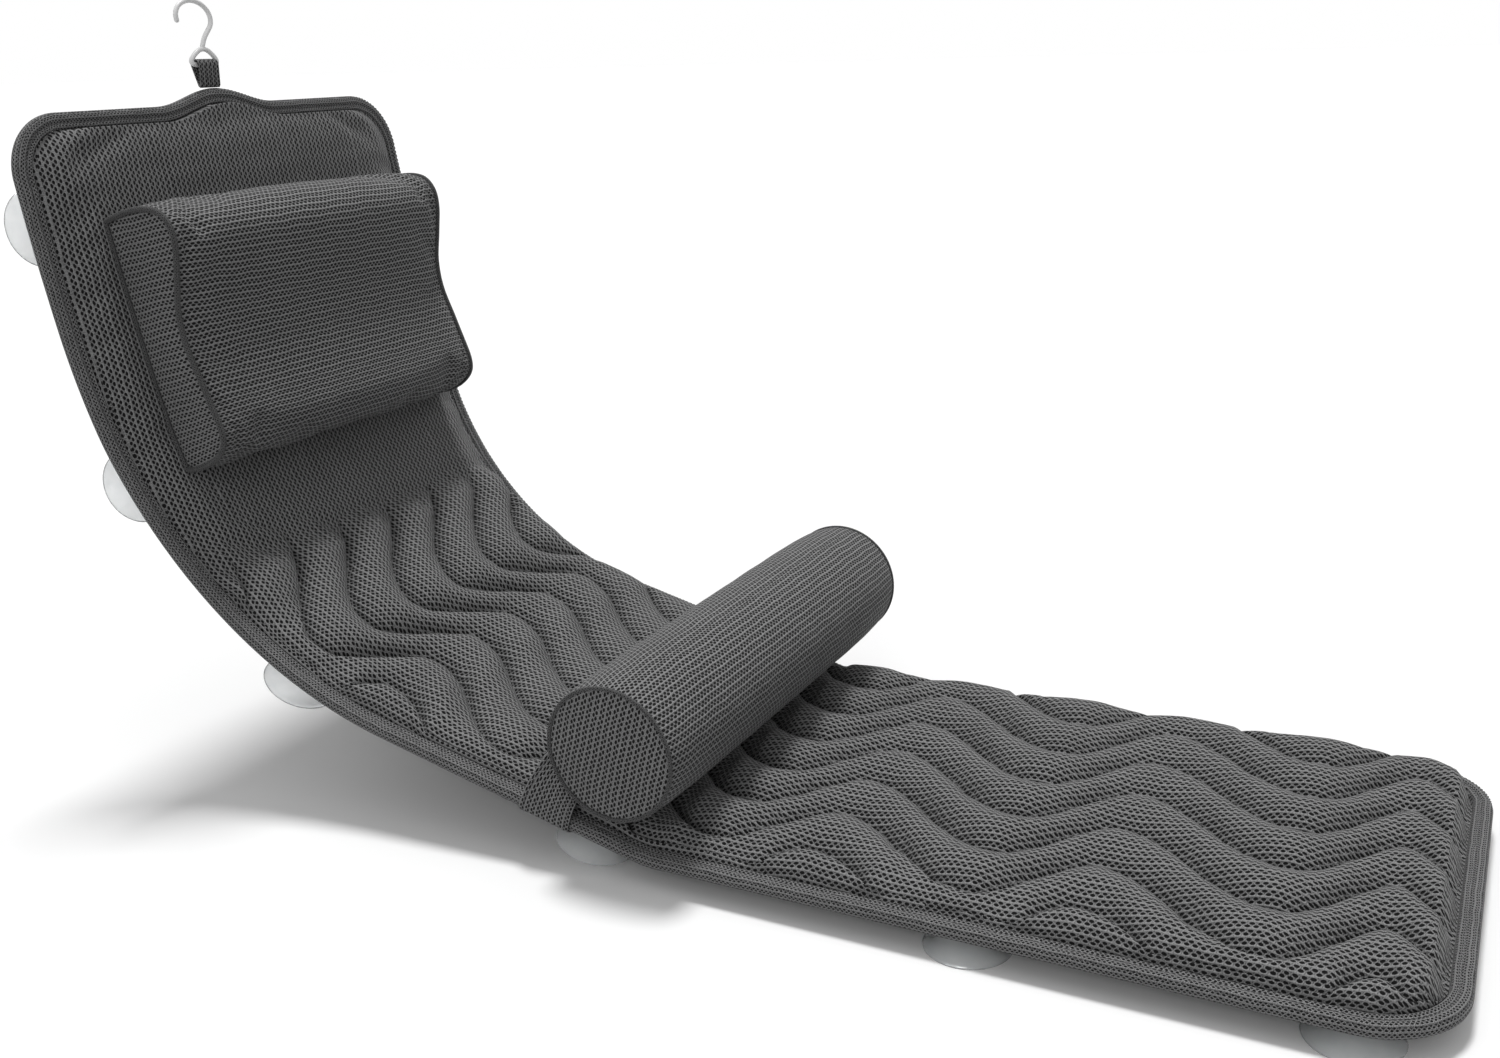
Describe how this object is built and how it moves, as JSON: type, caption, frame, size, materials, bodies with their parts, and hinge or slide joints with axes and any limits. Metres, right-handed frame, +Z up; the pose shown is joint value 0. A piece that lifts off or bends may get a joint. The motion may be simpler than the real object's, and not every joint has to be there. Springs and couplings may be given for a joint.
{
  "type": "bath pillow",
  "caption": "Full-length wave-quilted mesh bath cushion with a sewn contour headrest, a loose bolster on a strap, a hanging hook and clear suction cups.",
  "frame": {"origin": "middle of the footprint, in the plane of the rims of the flat suction cups, where the tub floor is", "axes": "+Z up; +Y along the cushion from the foot end to the head end; +X across it, to the right of someone looking from the foot end towards the headrest"},
  "size_m": [0.411, 0.976, 0.5761],
  "materials": {
    "mesh_fabric": "matte",
    "padding": "matte",
    "binding_tape": "matte",
    "pillow_fabric": "matte",
    "piping": "matte",
    "webbing": "matte",
    "hook_plastic": "gloss",
    "cup_plastic": "gloss"
  },
  "bodies": {
    "leg_seat": {"mat_leg_quilt": "mesh_fabric", "mat_leg_core": "padding", "mat_leg_backing": "mesh_fabric", "mat_leg_binding": "binding_tape", "mat_hip_quilt": "mesh_fabric", "mat_hip_core": "padding", "mat_hip_backing": "mesh_fabric", "mat_hip_binding_near": "binding_tape", "mat_hip_binding_far": "binding_tape", "suction_cup_near_1": "cup_plastic", "suction_cup_far_1": "cup_plastic", "suction_cup_near_2": "cup_plastic", "suction_cup_far_2": "cup_plastic", "suction_cup_near_3": "cup_plastic", "suction_cup_far_3": "cup_plastic"},
    "back": {"mat_back_quilt": "mesh_fabric", "mat_back_core": "padding", "mat_back_backing": "mesh_fabric", "mat_back_binding": "binding_tape", "headrest_cover": "pillow_fabric", "headrest_core": "padding", "headrest_end_near": "pillow_fabric", "headrest_end_far": "pillow_fabric", "headrest_piping_near": "piping", "headrest_piping_far": "piping", "suction_cup_near_4": "cup_plastic", "suction_cup_far_4": "cup_plastic", "suction_cup_near_5": "cup_plastic", "suction_cup_far_5": "cup_plastic", "suction_cup_near_6": "cup_plastic", "suction_cup_far_6": "cup_plastic"},
    "bolster": {"bolster_cover": "pillow_fabric", "bolster_core": "padding", "bolster_piping_near": "piping", "bolster_piping_far": "piping", "bolster_end_near": "pillow_fabric", "bolster_end_far": "pillow_fabric", "bolster_strap": "webbing"},
    "loop": {"hanging_loop": "webbing"},
    "hook": {"hook": "hook_plastic"}
  },
  "joints": [
    {"name": "back_recline", "type": "hinge", "parent": "leg_seat", "child": "back", "pos_m": [0, 0.20455, 0.07384], "axis": [1, 0, 0], "range_deg": [-30, 8], "deforming": ["mat_hip_quilt", "mat_hip_core", "mat_hip_backing", "mat_hip_binding_near", "mat_hip_binding_far"]},
    {"name": "bolster_slide", "type": "slide", "parent": "leg_seat", "child": "bolster", "axis": [0, 0.9703, 0.2419], "range_m": [0, 0.115]},
    {"name": "loop_fold", "type": "hinge", "parent": "back", "child": "loop", "pos_m": [-0.003, 0.47691, 0.51018], "axis": [1, 0, 0], "range_deg": [-60, 60]},
    {"name": "hook_swing", "type": "hinge", "parent": "loop", "child": "hook", "pos_m": [-0.003, 0.47912, 0.52552], "axis": [1, 0, 0], "range_deg": [-90, 90]}
  ]
}
